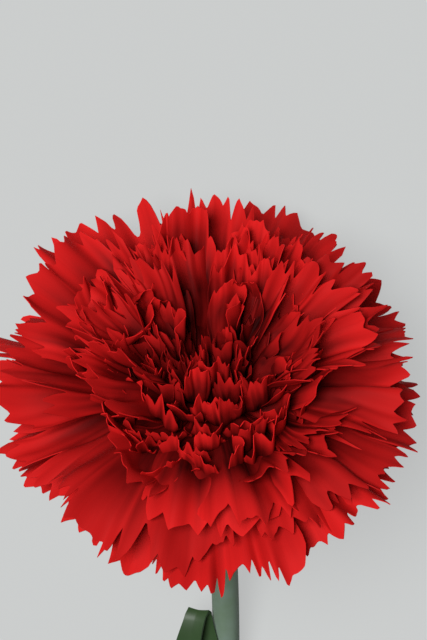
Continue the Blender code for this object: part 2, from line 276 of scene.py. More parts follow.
petalInputs = {
    "Columns": 90, "Rows": 28, "Claw": 25 * mm, "Length": 30 * mm, "Claw Radius": 7.5 * mm,
    "Bend Centre": 9.9 * mm, "Elevation": 0.0, "Curl": 7.9, "Curl From": 0.0, "Curl To": 40 * mm, "Rise": 0.0,
    "Azimuth": 0.0, "Spread": 0.47, "Claw Width": 0.8 * mm, "Open Length": 13 * mm, "Twist": 0.0,
    "Twist Distance": 10 * mm, "Teeth": 16.0, "Tooth Depth": 2.6 * mm, "Slits": 3.5, "Slit Depth": 5 * mm,
    "Round": 0.14, "Pleats": 2.5, "Pleat Slope": 0.6, "Pleat Phase": 0.0, "Wander": 1.5, "Frill": 0.8 * mm,
    "Crumple": 5 * mm, "Fall": 2 * mm, "Cup": 0.0, "Roll": 0.0, "Shade Length": 22 * mm, "Seed": 0.0,
    "Tone": 0.5,
}
petalThickness = 0.17  # in mm
# The numbers behind every petal's shape
petalShape = {
    "clawRows": 6.0,  # one row of the grid in so many lies on the claw
    "clawFlare": 8.8,  # how fast the claws draw together below the mouth, for each metre
    "seedStep": 7.31, "lobePace": 2.3, "lobeDepth": 0.18, "sideRound": 2.6,
    "toothDrift": 2.2, "toothPower": 0.95, "leastTooth": 0.35, "slitSharpness": 7.0, "slitStep": 0.37,
    "foldStep": 40.0, "foldPace": 1.4, "foldSteep": (1.5, 0.25), "foldFoot": 0.15, "foldFull": 0.85,
    "foldDrift": 5.0, "wanderPace": (0.8, 1.6), "crumplePace": (0.9, 1.3), "crumpleDetail": 1.5,
    "frillPower": 5.0, "frillBeat": 0.8 * math.pi, "fallPower": 3.0, "twistSpan": (0.2, 0.8),
    "restSoftness": 2.5 * mm,  # below this height the surface lifts a petal
}
# Where painted shade darkens the bloom's inside: the brim's height over the mouth, and its rise towards the back
insideShade = {"brim": 15.5 * mm, "slope": 0.32, "depth": 8 * mm, "radius": 12 * mm, "edge": 20 * mm}


def petalTree():
    shape = petalShape
    tree = bpy.data.node_groups.new("petal", "GeometryNodeTree")
    put = functools.partial(add, tree)
    for name, value in petalInputs.items():
        kind = "NodeSocketInt" if isinstance(value, int) else "NodeSocketFloat"
        tree.interface.new_socket(name, in_out="INPUT", socket_type=kind).default_value = value
    tree.interface.new_socket("Geometry", in_out="OUTPUT", socket_type="NodeSocketGeometry")
    given = put("NodeGroupInput").outputs

    grid = put("GeometryNodeMeshGrid", {
        "Size X": 2.0, "Size Y": 1.0, "Vertices X": given["Columns"], "Vertices Y": given["Rows"]})
    corner = put("ShaderNodeSeparateXYZ", (put("GeometryNodeInputPosition"),)).outputs
    across = corner["X"]  # -1 to 1
    row = put("ADD", (corner["Y"], 0.5))  # 0 at the claw's foot, 1 at the margin
    share = put("MULTIPLY_ADD", (across, 0.5, 0.5))
    seedStep = put("MULTIPLY", (given["Seed"], shape["seedStep"]))

    # teeth: V notches of unlike width and depth, with a few long slits
    lobeSpot = put("MULTIPLY_ADD", (across, shape["lobePace"], seedStep))
    wobble = put("ShaderNodeTexNoise", {"W": lobeSpot, "Scale": 1.0, "Detail": 1.0}, noise_dimensions="1D")
    shift = put("MULTIPLY", (put("SUBTRACT", (wobble, 0.5)), shape["toothDrift"]))
    toothX = put("MULTIPLY_ADD", (share, given["Teeth"], shift))
    toothAt = put("ROUND", (toothX,))
    toothGap = put("ABSOLUTE", (put("SUBTRACT", (toothX, toothAt)),))
    toothSpot = put("ADD", (toothAt, seedStep))
    toothDice = put("ShaderNodeTexWhiteNoise", {"W": toothSpot}, noise_dimensions="1D")
    toothCut = put("MULTIPLY_ADD", (toothGap, -2.0, 1.0))
    toothCut = put("POWER", (toothCut, shape["toothPower"]))
    toothDeep = put("MULTIPLY_ADD", (toothDice, 1.0, shape["leastTooth"]))
    toothCut = put("MULTIPLY", (toothCut, toothDeep))
    toothCut = put("MULTIPLY", (toothCut, given["Tooth Depth"]))

    slitX = put("MULTIPLY_ADD", (share, given["Slits"], put("ADD", (shift, seedStep))))
    slitAt = put("ROUND", (slitX,))
    slitGap = put("ABSOLUTE", (put("SUBTRACT", (slitX, slitAt)),))
    slitSpot = put("ADD", (slitAt, shape["slitStep"]))
    slitDice = put("ShaderNodeTexWhiteNoise", {"W": slitSpot}, noise_dimensions="1D")
    slitCut = put("MULTIPLY_ADD", (slitGap, -shape["slitSharpness"], 1.0))
    slitCut = put("MAXIMUM", (slitCut, 0.0))
    slitCut = put("MULTIPLY", (slitCut, slitDice))
    slitCut = put("MULTIPLY", (slitCut, given["Slit Depth"]))

    # how far the blade reaches at this place across it
    edge = put("POWER", (put("ABSOLUTE", (across,)), shape["sideRound"]))
    rounded = put("MULTIPLY_ADD", (put("MULTIPLY", (edge, given["Round"])), -1.0, 1.0))
    lobes = put("MULTIPLY_ADD", (wobble, shape["lobeDepth"], -shape["lobeDepth"] / 2))
    reach = put("MULTIPLY", (put("ADD", (rounded, lobes)), given["Length"]))
    reach = put("SUBTRACT", (reach, toothCut))
    reach = put("SUBTRACT", (reach, slitCut))

    # distance along the petal, below zero on the claw
    clawPart = put("MULTIPLY_ADD", (row, shape["clawRows"], -1.0))
    clawPart = put("MINIMUM", (clawPart, 0.0))
    clawAlong = put("MULTIPLY", (clawPart, given["Claw"]))
    bladeRows = shape["clawRows"] - 1
    bladePart = put("MULTIPLY_ADD", (row, shape["clawRows"] / bladeRows, -1 / bladeRows))
    bladePart = put("MAXIMUM", (bladePart, 0.0))
    bladeAlong = put("MULTIPLY", (bladePart, reach))
    grown = put("DIVIDE", (bladeAlong, given["Length"]))

    # the arc out of the tube, then a gentle curl
    bend = put("SUBTRACT", (given["Bend Centre"], given["Claw Radius"]))
    turn = put("SUBTRACT", (math.pi / 2, given["Elevation"]))
    bent = put("MINIMUM", (put("DIVIDE", (bladeAlong, bend)), turn))
    onBlade = put("MULTIPLY", (bend, turn))
    onBlade = put("SUBTRACT", (bladeAlong, onBlade))
    onBlade = put("MAXIMUM", (onBlade, 0.0))
    before = put("MINIMUM", (onBlade, given["Curl From"]))
    inCurl = put("SUBTRACT", (put("MINIMUM", (onBlade, given["Curl To"])), before))
    after = put("MAXIMUM", (put("SUBTRACT", (onBlade, given["Curl To"])), 0.0))
    curled = put("MULTIPLY", (inCurl, given["Curl"]))
    slope = put("SUBTRACT", (put("SUBTRACT", (math.pi / 2, bent)), curled))
    now = put("SUBTRACT", (given["Elevation"], curled))
    startSine = put("SINE", (given["Elevation"],))
    startCosine = put("COSINE", (given["Elevation"],))
    nowSine = put("SINE", (now,))
    nowCosine = put("COSINE", (now,))
    flare = put("MULTIPLY_ADD", (clawAlong, shape["clawFlare"], 1.0))
    radius = put("MULTIPLY", (flare, given["Claw Radius"]))
    arcOut = put("MULTIPLY_ADD", (put("COSINE", (bent,)), -1.0, 1.0))
    radius = put("MULTIPLY_ADD", (arcOut, bend, radius))
    radius = put("MULTIPLY_ADD", (before, startCosine, radius))
    curlOut = put("SUBTRACT", (startSine, nowSine))
    radius = put("ADD", (put("DIVIDE", (curlOut, given["Curl"])), radius))
    radius = put("MULTIPLY_ADD", (after, nowCosine, radius))
    height = put("MULTIPLY_ADD", (put("SINE", (bent,)), bend, clawAlong))
    height = put("MULTIPLY_ADD", (before, startSine, height))
    curlUp = put("SUBTRACT", (nowCosine, startCosine))
    height = put("ADD", (put("DIVIDE", (curlUp, given["Curl"])), height))
    height = put("MULTIPLY_ADD", (after, nowSine, height))
    height = put("ADD", (height, given["Rise"]))

    # half the angle that the petal takes up round the axis
    clawHalf = put("DIVIDE", (given["Claw Width"], radius))
    opened = put("ShaderNodeMapRange", {"Value": bladeAlong, "From Max": given["Open Length"]},
                 interpolation_type="SMOOTHSTEP")
    halfAngle = put("ShaderNodeMix", {0: opened, 2: clawHalf, 3: given["Spread"]})
    halfWidth = put("MULTIPLY", (halfAngle, radius))

    # pleats: waves across the petal that keep its breadth of cloth, so a deep one draws the sides in
    foldSpot = put("MULTIPLY_ADD", (across, shape["foldPace"], put("ADD", (seedStep, shape["foldStep"]))))
    folds = put("ShaderNodeTexNoise", {"W": foldSpot, "Scale": 1.0, "Detail": 1.0}, noise_dimensions="1D")
    steep = put("MULTIPLY_ADD", (folds, *shape["foldSteep"]))
    steep = put("MULTIPLY", (steep, given["Pleat Slope"]))
    rise = put("ShaderNodeMapRange", {"Value": grown, "From Max": shape["foldFull"], "To Min": shape["foldFoot"]},
               interpolation_type="SMOOTHSTEP")
    steep = put("MULTIPLY", (steep, rise))
    steepSquared = put("MULTIPLY", (steep, steep))
    beat = put("MULTIPLY", (given["Pleats"], math.pi))
    angle = put("MULTIPLY_ADD", (across, beat, given["Pleat Phase"]))
    angle = put("MULTIPLY_ADD", (folds, shape["foldDrift"], angle))
    path = [put("MULTIPLY", pair) for pair in zip((across, grown), shape["wanderPace"])]
    path = put("ShaderNodeCombineXYZ", (*path, seedStep))
    wander = put("ShaderNodeTexNoise", {"Vector": path, "Scale": 1.0, "Detail": 1.0})
    wander = put("SUBTRACT", (wander, 0.5))
    angle = put("MULTIPLY_ADD", (wander, given["Wander"], angle))
    pleat = put("MULTIPLY", (put("COSINE", (angle,)), steep))
    pleat = put("DIVIDE", (put("MULTIPLY", (pleat, halfWidth)), beat))
    drawn = put("MULTIPLY", (put("MULTIPLY_ADD", (steepSquared, -0.25, 1.0)), across))
    twice = put("SINE", (put("MULTIPLY", (angle, 2.0)),))
    tucked = put("MULTIPLY", (twice, steepSquared))
    tucked = put("DIVIDE", (tucked, put("MULTIPLY", (beat, 8.0))))
    drawn = put("ADD", (drawn, tucked))

    # the margin's frill, soft crumples, and the blade's own fall or lift
    margin = put("POWER", (grown, shape["frillPower"]))
    frillWave = put("MULTIPLY_ADD", (toothX, shape["frillBeat"], seedStep))
    frill = put("MULTIPLY", (put("SINE", (frillWave,)), margin))
    frill = put("MULTIPLY", (frill, given["Frill"]))
    soft = [put("MULTIPLY", pair) for pair in zip((across, grown), shape["crumplePace"])]
    soft = put("ShaderNodeCombineXYZ", (*soft, seedStep))
    crumple = put("ShaderNodeTexNoise", {"Vector": soft, "Scale": 1.0, "Detail": shape["crumpleDetail"]})
    crumple = put("SUBTRACT", (crumple, 0.5))
    crumple = put("MULTIPLY", (crumple, put("MULTIPLY", (given["Crumple"], grown))))
    fall = put("MULTIPLY", (put("POWER", (grown, shape["fallPower"])), given["Fall"]))
    cup = put("MULTIPLY_ADD", (across, given["Cup"], given["Roll"]))
    cup = put("MULTIPLY", (cup, put("MULTIPLY", (across, grown))))
    lift = put("ADD", (pleat, frill))
    lift = put("ADD", (lift, crumple))
    lift = put("ADD", (lift, cup))
    lift = put("SUBTRACT", (lift, fall))
    radius = put("SUBTRACT", (radius, put("MULTIPLY", (lift, put("SINE", (slope,))))))
    height = put("MULTIPLY_ADD", (lift, put("COSINE", (slope,)), height))

    # round the axis, with a twist where the blade stands
    around = put("MULTIPLY", (drawn, halfAngle.outputs[0]))
    twistFrom, twistTo = shape["twistSpan"]
    twistShare = put("ShaderNodeMapRange", {"Value": grown, "From Min": twistFrom, "From Max": twistTo},
                     interpolation_type="SMOOTHSTEP")
    spot = [put("MULTIPLY", (put(kind, (around,)), radius)) for kind in ("COSINE", "SINE")]
    twisted = put("ShaderNodeVectorRotate", {
        "Vector": put("ShaderNodeCombineXYZ", spot),
        "Center": put("ShaderNodeCombineXYZ", (given["Twist Distance"],)),
        "Angle": put("MULTIPLY", (twistShare, given["Twist"]))}, rotation_type="Z_AXIS")
    faced = put("ShaderNodeVectorRotate", {"Vector": twisted, "Angle": given["Azimuth"]}, rotation_type="Z_AXIS")
    flat = put("ShaderNodeSeparateXYZ", (faced,)).outputs
    spotInBloom = put("ShaderNodeCombineXYZ", (flat["X"], flat["Y"], height))
    turned = put("ShaderNodeVectorRotate", {"Vector": spotInBloom, "Rotation": bloomTurn},
                 rotation_type="EULER_XYZ")
    placed = put("ShaderNodeVectorMath", (turned, tuple(mouth)), operation="ADD")

    # the surface holds up what would go below it, softly
    world = put("ShaderNodeSeparateXYZ", (placed,)).outputs
    softness = shape["restSoftness"]
    over = put("SUBTRACT", (world["Z"], softness))
    under = put("MINIMUM", (over, 0.0))
    under = put("EXPONENT", (put("DIVIDE", (under, softness)),))
    over = put("MAXIMUM", (over, 0.0))
    resting = put("MULTIPLY_ADD", (under, softness, over))
    final = put("ShaderNodeCombineXYZ", (world["X"], world["Y"], resting))

    # painted shade: each petal darker away from its margin, and darker still deep inside the bloom under the tips
    # round it, where hardly any light arrives
    inward = put("SUBTRACT", (reach, bladeAlong))
    shade = put("DIVIDE", (inward, given["Shade Length"]), use_clamp=True)
    brim = put("MULTIPLY_ADD", (flat["Y"], insideShade["slope"], insideShade["brim"]))
    sunk = put("SUBTRACT", (brim, height))
    sunk = put("DIVIDE", (sunk, insideShade["depth"]), use_clamp=True)
    inside = put("ShaderNodeMapRange", {
        "Value": radius, "From Min": insideShade["radius"], "From Max": insideShade["edge"],
        "To Min": 1.0, "To Max": 0.0}, interpolation_type="SMOOTHSTEP")
    sunk = put("MULTIPLY", (sunk, inside))
    shade = put("MAXIMUM", (shade, sunk))
    named = put("GeometryNodeStoreNamedAttribute", {
        "Geometry": grid, "Name": "petalUv", "Value": grid.outputs[1]}, data_type="FLOAT2", domain="CORNER")
    for name, value in (("petalTone", given["Tone"]), ("petalDepth", shade)):
        named = put("GeometryNodeStoreNamedAttribute", {"Geometry": named, "Name": name, "Value": value})
    shaped = put("GeometryNodeSetPosition", {"Geometry": named, "Position": final})
    put("NodeGroupOutput", (shaped,))
    return tree


def makePetal(name, tree, values):
    obj = bpy.data.objects.new(name, bpy.data.meshes.new(name))
    bpy.context.scene.collection.objects.link(obj)
    maker = obj.modifiers.new("petal", "NODES")
    maker.node_group = tree
    for socket in tree.interface.items_tree:
        if socket.in_out == "INPUT" and socket.name in values:
            value = values[socket.name]
            maker[socket.identifier] = round(value) if socket.socket_type == "NodeSocketInt" else float(value)
    solid = obj.modifiers.new("thickness", "SOLIDIFY")
    solid.thickness = values["Thickness"]
    solid.offset = 0
    plain(obj)
    finish(obj, freshPetal)
    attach(obj, "root")
    return obj


degreeValues = ("Elevation", "Azimuth", "Twist")
plainValues = ("Columns", "Rows", "Teeth", "Slits", "Pleats", "Pleat Slope", "Round", "Wander", "Seed", "Tone",
               "Spread", "Curl")
petalDice = random.Random()
petalMaker = petalTree()


def growPetal(name, node, raw):
    # one petal from its values, each varied a little
    raw["Length"] *= petalDice.uniform(0.95, 1.05)
    raw["Spread"] = math.radians(raw["Spread"]) * petalDice.uniform(0.88, 1.12)
    raw["Pleats"] *= petalDice.uniform(0.85, 1.2)
    raw["Pleat Slope"] *= petalDice.uniform(0.8, 1.2)
    raw["Fall"] += petalDice.uniform(-1.5, 1.5)
    raw["Seed"] = petalDice.uniform(0, 50)
    raw["Tone"] = petalDice.random() + raw.get("Tone", 0.5) - 0.5
    raw.setdefault("Thickness", petalThickness)
    raw.setdefault("Roll", petalDice.uniform(-1.2, 1.2))
    raw.setdefault("Cup", petalDice.uniform(-0.8, 2.6))
    values = {key: value if key in plainValues else value * mm for key, value in raw.items()}
    values |= {key: math.radians(raw.get(key, 0)) for key in degreeValues}
    values["Pleat Phase"] = petalDice.uniform(0, 2 * math.pi)
    petal = makePetal(name, petalMaker, values)
    if node:
        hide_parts(node)


def pieceName(node):
    first, *rest = node.split("_")
    return first + "".join(part.title() for part in rest)


def goldenSpot(order, start):
    # places from -1 to 1 in an order in which each one falls in a wide gap
    return 2 * ((order * goldenShare + start) % 1) - 1


def standUp(distance, tipHeight, radius, firstSlope, lastSlope, turnRadius, bend=2.5, leastStanding=4):
    # a petal that leaves the mouth at one slope and turns up at a distance from the axis
    first, last = math.radians(firstSlope), math.radians(lastSlope)
    level = distance - radius - bend * (1 - math.sin(first)) - turnRadius * (math.sin(last) - math.sin(first))
    level = max(level / math.cos(first), 0)
    risen = bend * math.cos(first) + level * math.sin(first) + turnRadius * (math.cos(first) - math.cos(last))
    standing = max(tipHeight - risen, leastStanding)
    turned = level + turnRadius * (last - first)
    length = bend * (math.pi / 2 - first) + turned + standing
    return {
        "Claw Radius": radius, "Bend Centre": radius + bend, "Elevation": firstSlope, "Curl From": level,
        "Curl To": turned, "Curl": -1 / (turnRadius * mm), "Length": length, "Open Length": length,
        "Rise": min(tipHeight - risen - standing, 0) + 0.5,
    }


# The main whorl runs from the outermost petal to the innermost; a pair of values is its two ends.
# Angles are in degrees and lengths in mm. An azimuth of 0 is the bloom's right, 90 its back.
mainWhorl = {
    "Length": (30.9, 31.4), "Claw": (25, 25), "Claw Radius": (7.5, 5.1), "Bend Centre": (9.9, 9.9),
    "Open Length": (13, 13), "Claw Width": (0.9, 0.8), "Spread": (30, 28), "Columns": (110, 100), "Rows": (30, 30),
    "Teeth": (13, 12), "Tooth Depth": (3.2, 3.1), "Slits": (3, 3), "Slit Depth": (6, 6), "Pleats": (1.1, 1.3),
    "Pleat Slope": (0.3, 0.42), "Wander": (3, 5), "Frill": (0.7, 0.9), "Crumple": (13, 14), "Fall": (2, 0.5),
    "Round": (0.14, 0.16), "Shade Length": (34, 17),
}
# What sets single petals apart from their whorl
petalTrims = {
    "guard_petal_1": {"Azimuth": 10, "Length": 1.4, "Spread": -7, "Tone": 0.5, "Round": -0.06,
                      "Slits": -1.5, "Tooth Depth": -0.5},
    "guard_petal_4": {"Length": -1.5},
    "guard_petal_6": {"Azimuth": 12, "Length": 2},
    "guard_petal_8": {"Length": 2},
    "guard_petal_9": {"Azimuth": 16, "Length": -3.5},
    "outer_petal_2": {"Length": 2, "Elevation": -5},
    "outer_petal_3": {"Length": 1},
    "outer_petal_4": {"Azimuth": -6, "Length": 0.8, "Tone": -0.5},
    "outer_petal_6": {"Length": 2.5},
    "outer_petal_7": {"Length": -2},
    "outer_petal_8": {"Azimuth": -8, "Length": 5},
    "middle_petal_1": {"Length": 0.5},
    "middle_petal_3": {"Length": -1.5},
    "middle_petal_6": {"Azimuth": -14, "Length": -0.5},
    "middle_petal_9": {"Length": 1.5},
}
# The petals that make a rim round the rosette at the front: each value and how far it strays
frontArch = {
    "Elevation": (1, 3), "Arch": (42, 6), "Curl From": (13, 1.5), "Curl To": (25, 1), "Length": (30, 1),
    "Fall": (0, 1), "Pleat Slope": (0.35, 0.1), "Teeth": (10, 2), "Slits": (2, 0), "Spread": (29, 2),
    "Roll": (0, 3), "Cup": (-2, 1.5), "Shade Length": (13, 2),
}
frontBowl = {
    "Fall": (4.5, 1.5), "Pleat Slope": (0.35, 0.1), "Teeth": (9, 1), "Tooth Depth": (1.8, 0.2),
    "Roll": (0, 3), "Cup": (-1, 2), "Shade Length": (10, 1),
}
# How the main whorl's petals stand: outermost and innermost elevation, how much lower the inner ones lie in
# front, what the back and one side gain in length and another loses, and how much painted shade darkens the sides
# and the right.
# A pair is an amount and the azimuth where it is greatest.
whorlPlan = {
    "seed": 11, "firstAzimuth": -98, "elevation": (-15, 47), "frontDrop": 27, "risePower": 1.15, "curl": 13,
    "backExtra": 2, "sideExtra": (2, 150), "sideLoss": (2.2, -148), "tone": 0.65, "aside": 0.5, "right": (0.4, 25),
}
# An inner petal at the front that stands up: its distance, tip height and first slope in the middle of the
# front, and what each of them gains to the side
frontStand = {"toTheSide": ((21, -3), (8, 6), (-5, 13)), "radius": 5.1, "lastSlope": 60, "turnRadius": 6}


def growMainWhorl():
    plan = whorlPlan
    petalDice.seed(plan["seed"])
    nodes = [f"{ring}_petal_{i}" for ring in ("guard", "outer", "middle") for i in range(1, 11)]
    for order, node in enumerate(nodes):
        depth = order / (len(nodes) - 1)
        raw = {key: mix(*ends, depth) for key, ends in mainWhorl.items()}
        azimuth = plan["firstAzimuth"] + order * goldenAngle
        back = sine(azimuth)
        front = (0.5 - 0.5 * back) ** 2
        lowest, highest = plan["elevation"]
        extra, extraAt = plan["sideExtra"]
        loss, lossAt = plan["sideLoss"]
        darker, darkerAt = plan["right"]
        raw["Azimuth"] = azimuth + petalDice.uniform(-3, 3)
        raw["Elevation"] = mix(lowest, highest - plan["frontDrop"] * front, depth ** plan["risePower"])
        raw["Elevation"] += petalDice.uniform(-3, 3)
        raw["Length"] += plan["backExtra"] * max(back, 0) * depth + extra * max(cosine(azimuth - extraAt), 0)
        raw["Length"] -= loss * max(cosine(azimuth - lossAt), 0) ** 4
        raw["Curl"] = math.radians(plan["curl"]) / (raw["Length"] * mm)
        raw["Roll"], raw["Cup"] = petalDice.uniform(-4, 4), petalDice.uniform(-3, 2)
        # painted shade: petals at the bloom's sides, and most of all on its right, are darker
        raw["Tone"] = plan["tone"] - plan["aside"] * abs(cosine(azimuth))
        raw["Tone"] -= darker * max(cosine(azimuth - darkerAt), 0) ** 2
        for key, change in petalTrims.get(node, {}).items():
            raw[key] = raw.get(key, 0.5) + change
        if depth > 0.5 and back < -0.5:  # the inner petals at the front arch over a rim or stand up as one
            shape = frontArch if order % 2 else frontBowl
            raw |= {key: value + petalDice.uniform(-spread, spread) for key, (value, spread) in shape.items()}
            if order % 2:
                raw["Curl"] = math.radians(raw.pop("Arch")) / ((raw["Curl To"] - raw["Curl From"]) * mm)
            else:
                distance, tipHeight, firstSlope = (
                    value + gain * abs(cosine(azimuth)) for value, gain in frontStand["toTheSide"])
                raw |= standUp(distance + petalDice.uniform(-1, 1.5), tipHeight + petalDice.uniform(-1, 1),
                               frontStand["radius"], firstSlope, frontStand["lastSlope"], frontStand["turnRadius"])
        growPetal(pieceName(node), node, raw)


# Shorter petals inside the main whorl, all round but for the front and a cleft at the back
innerWhorl = {
    "seed": 5, "count": 14, "middle": 92, "fan": 125, "cleft": (92, 17), "elevation": (44, 58), "curl": (0, 22),
    "right": 0.35, "bend": 3.2, "Length": (28, 24), "Claw Radius": (5.6, 4.6),
    "Spread": (26, 24), "Teeth": (12, 10), "Slits": (2.5, 2), "Slit Depth": (5, 4), "Pleats": (1.4, 1.2),
    "Pleat Slope": (0.45, 0.45), "Wander": (3, 3), "Shade Length": (17, 12),
}


def growInnerWhorl():
    petalDice.seed(innerWhorl["seed"])
    cleft, cleftHalf = innerWhorl["cleft"]
    for order in range(innerWhorl["count"]):
        depth = order / (innerWhorl["count"] - 1)
        raw = {key: innermost for key, (_, innermost) in mainWhorl.items()}
        raw |= {key: mix(*value, depth) for key, value in innerWhorl.items() if key in mainWhorl}
        raw["Azimuth"] = innerWhorl["middle"] + innerWhorl["fan"] * goldenSpot(order, 0.5)
        if abs(raw["Azimuth"] - cleft) < cleftHalf:
            continue
        raw["Elevation"] = mix(*innerWhorl["elevation"], depth) + petalDice.uniform(-4, 4)
        raw["Curl"] = math.radians(petalDice.uniform(*innerWhorl["curl"])) / (raw["Length"] * mm)
        raw["Roll"], raw["Cup"] = petalDice.uniform(-3, 3), petalDice.uniform(-1, 4)
        # painted shade: petals on the bloom's right are darker
        raw["Tone"] = 0.5 - innerWhorl["right"] * max(cosine(raw["Azimuth"]), 0) ** 2
        raw["Bend Centre"] = raw["Claw Radius"] + innerWhorl["bend"]
        growPetal(f"innerPetal{order + 1}", None, raw)


# What the small petals of the rosette and the back rows share
crownPetal = {
    "Claw": 14, "Claw Width": 0.5, "Columns": 44, "Rows": 24, "Teeth": 4.2, "Tooth Depth": 2.4, "Slits": 1.1,
    "Slit Depth": 2, "Pleats": 0.7, "Pleat Slope": 0.5, "Wander": 2, "Frill": 0.5, "Crumple": 7, "Fall": 0.3,
    "Round": 0.45, "Thickness": 0.13, "Tone": 1.0,
}
leastDistance = 3.5  # a petal nearer the axis is no broader than one at this distance
# The rosette that fills the bloom's front: rows of small fans that run outwards, then stand up
rosette = {
    "nodes": [f"front_crown_petal_{i}" for i in range(1, 7)], "seed": 4, "count": 52, "middle": -94,
    "fan": (62, 165), "sidesIn": (0.2, 60), "distance": (20.2, 2.5), "crowding": 1.25,
    "tipHeight": (9.6, 13.5), "firstSlope": (-10, 55), "lastSlope": (80, 90),
    "Claw Radius": (4.6, 1.0), "turnRadius": (3.0, 3.0), "halfWidth": (7.6, 4.0), "twist": 46,
    "Shade Length": (5.5, 5.5), "opened": 1,
}


def growCrownPetal(plan, depth, name, node, azimuth, distance, tipHeight, lastSlope):
    raw = dict(crownPetal)
    raw |= standUp(distance, tipHeight, mix(*plan["Claw Radius"], depth), mix(*plan["firstSlope"], depth),
                   lastSlope, mix(*plan["turnRadius"], depth))
    raw["Azimuth"], raw["Shade Length"] = azimuth, mix(*plan["Shade Length"], depth)
    raw["Open Length"] *= plan["opened"]
    raw["Spread"] = math.degrees(mix(*plan["halfWidth"], depth) / max(distance, leastDistance))
    raw["Twist"] = petalDice.uniform(-plan["twist"], plan["twist"])
    raw["Twist Distance"] = distance
    growPetal(pieceName(node) if node else name, node, raw)


def growRosette():
    petalDice.seed(rosette["seed"])
    narrower, farthest = rosette["sidesIn"]
    for order in range(rosette["count"]):
        depth = order / (rosette["count"] - 1)
        azimuth = rosette["middle"] + mix(*rosette["fan"], depth) * goldenSpot(order, 0.5)
        azimuth += petalDice.uniform(-4, 4)
        distance = mix(*rosette["distance"], depth ** rosette["crowding"]) + petalDice.uniform(-1, 1)
        aside = min(abs(azimuth - rosette["middle"]) / farthest, 1)
        distance *= 1 - narrower * (1 - depth) * aside ** 2
        tipHeight = mix(*rosette["tipHeight"], depth) + petalDice.uniform(-1, 1)
        lastSlope = mix(*rosette["lastSlope"], depth) + petalDice.uniform(-12, 12)
        node = rosette["nodes"][order] if order < len(rosette["nodes"]) else None
        growCrownPetal(rosette, depth, f"rosettePetal{order + 1}", node, azimuth, distance, tipHeight, lastSlope)


# Standing petals behind the rosette, highest at the back, with gaps that leave dark clefts.
# A cleft spans a range to the right and a range to the back. A bud is a range of azimuth and of distance
# where petals end at a steeper slope, curled inwards. Each node has the range of azimuth where its petal can be.
backRows = {
    "nodes": {"left_crown_petal": (140, 225), "back_crown_petal": (45, 135), "right_crown_petal": (-45, 40)},
    "seed": 9, "count": 84, "middle": 92, "fan": (118, 125), "distance": (21.5, 3.5), "tipHeight": (22.5, 18),
    "sideDrop": 7, "firstSlope": (38, 62), "lastSlope": (66, 86), "Claw Radius": (3.4, 0.9),
    "turnRadius": (6, 6), "opened": 0.75, "halfWidth": (6.4, 4.2), "twist": 28, "Shade Length": (9.5, 5.5),
    "clefts": [((-4.5, 3), (2, 19.5)), ((6.5, 12), (-3, 9))],
    "buds": [((135, 172), (10, 15), 125), ((48, 66), (8, 13), 112)],
}


def growBackRows():
    petalDice.seed(backRows["seed"])
    waiting = {ring: [f"{ring}_{i}" for i in range(1, 5)] for ring in backRows["nodes"]}
    for order in range(backRows["count"]):
        depth = order / (backRows["count"] - 1)
        azimuth = backRows["middle"] + mix(*backRows["fan"], depth) * goldenSpot(order, 0.3)
        azimuth += petalDice.uniform(-4, 4)
        distance = mix(*backRows["distance"], depth) + petalDice.uniform(-1, 1)
        aside, back = cosine(azimuth), sine(azimuth)
        if any(a[0] < distance * aside < a[1] and b[0] < distance * back < b[1] for a, b in backRows["clefts"]):
            continue
        tipHeight = mix(*backRows["tipHeight"], depth) - backRows["sideDrop"] * (1 - max(back, 0))
        lastSlope = mix(*backRows["lastSlope"], depth) + petalDice.uniform(-10, 10)
        for angles, distances, slope in backRows["buds"]:
            if angles[0] < azimuth < angles[1] and distances[0] < distance < distances[1]:
                lastSlope = slope + petalDice.uniform(-15, 10)
        tipHeight += petalDice.uniform(-1.5, 1.5)
        near = [ring for ring, (low, high) in backRows["nodes"].items() if low < azimuth < high and waiting[ring]]
        node = waiting[near[0]].pop(0) if near else None
        growCrownPetal(backRows, depth, f"standingPetal{order + 1}", node, azimuth, distance, tipHeight, lastSlope)


growMainWhorl()
growInnerWhorl()
growRosette()
growBackRows()
print("petals grown")


# ---- stem, calyx and leaves

stemShape = {
    "radius": 2.45 * mm, "jointRadius": 3.4 * mm, "length": 140 * mm, "yaw": math.radians(-2.5), "steps": 60,
    "joints": (45 * mm, 105 * mm), "jointLength": 2.0 * mm, "receptacle": (-2.2 * mm, 0.6 * mm),
    "receptacleRadius": 4.9 * mm, "start": -2.4 * mm, "columns": 40, "rows": 200, "ribs": 7, "ribShare": 0.012,
}
neckBend = (mouth.z - bloomPlace["calyxDepth"] * math.sin(bloomPlace["tilt"]) - stemShape["jointRadius"]) / (
    1 - math.cos(bloomPlace["tilt"]))


def heading(pitch, yaw):
    return Vector((math.sin(yaw) * math.cos(pitch), -math.cos(yaw) * math.cos(pitch), math.sin(pitch)))


def stemPoint(behind):
    # the stem's middle at a distance behind the calyx
    bloomWay = heading(bloomPlace["tilt"], bloomPlace["yaw"])
    spot = mouth - bloomWay * bloomPlace["calyxDepth"]
    if behind < 0:
        return spot - bloomWay * behind
    for step in range(stemShape["steps"]):
        share = min(behind * (step + 0.5) / stemShape["steps"] / (neckBend * bloomPlace["tilt"]), 1)
        way = heading(mix(bloomPlace["tilt"], 0, share), mix(bloomPlace["yaw"], stemShape["yaw"], share))
        spot -= way * behind / stemShape["steps"]
    return spot


def stemRadius(behind):
    thin = radius = stemShape["radius"]
    for joint in stemShape["joints"]:
        radius += (stemShape["jointRadius"] - thin) * math.exp(-((behind - joint) / stemShape["jointLength"]) ** 2)
    return radius + (stemShape["receptacleRadius"] - thin) * (1 - smooth(*stemShape["receptacle"], behind))


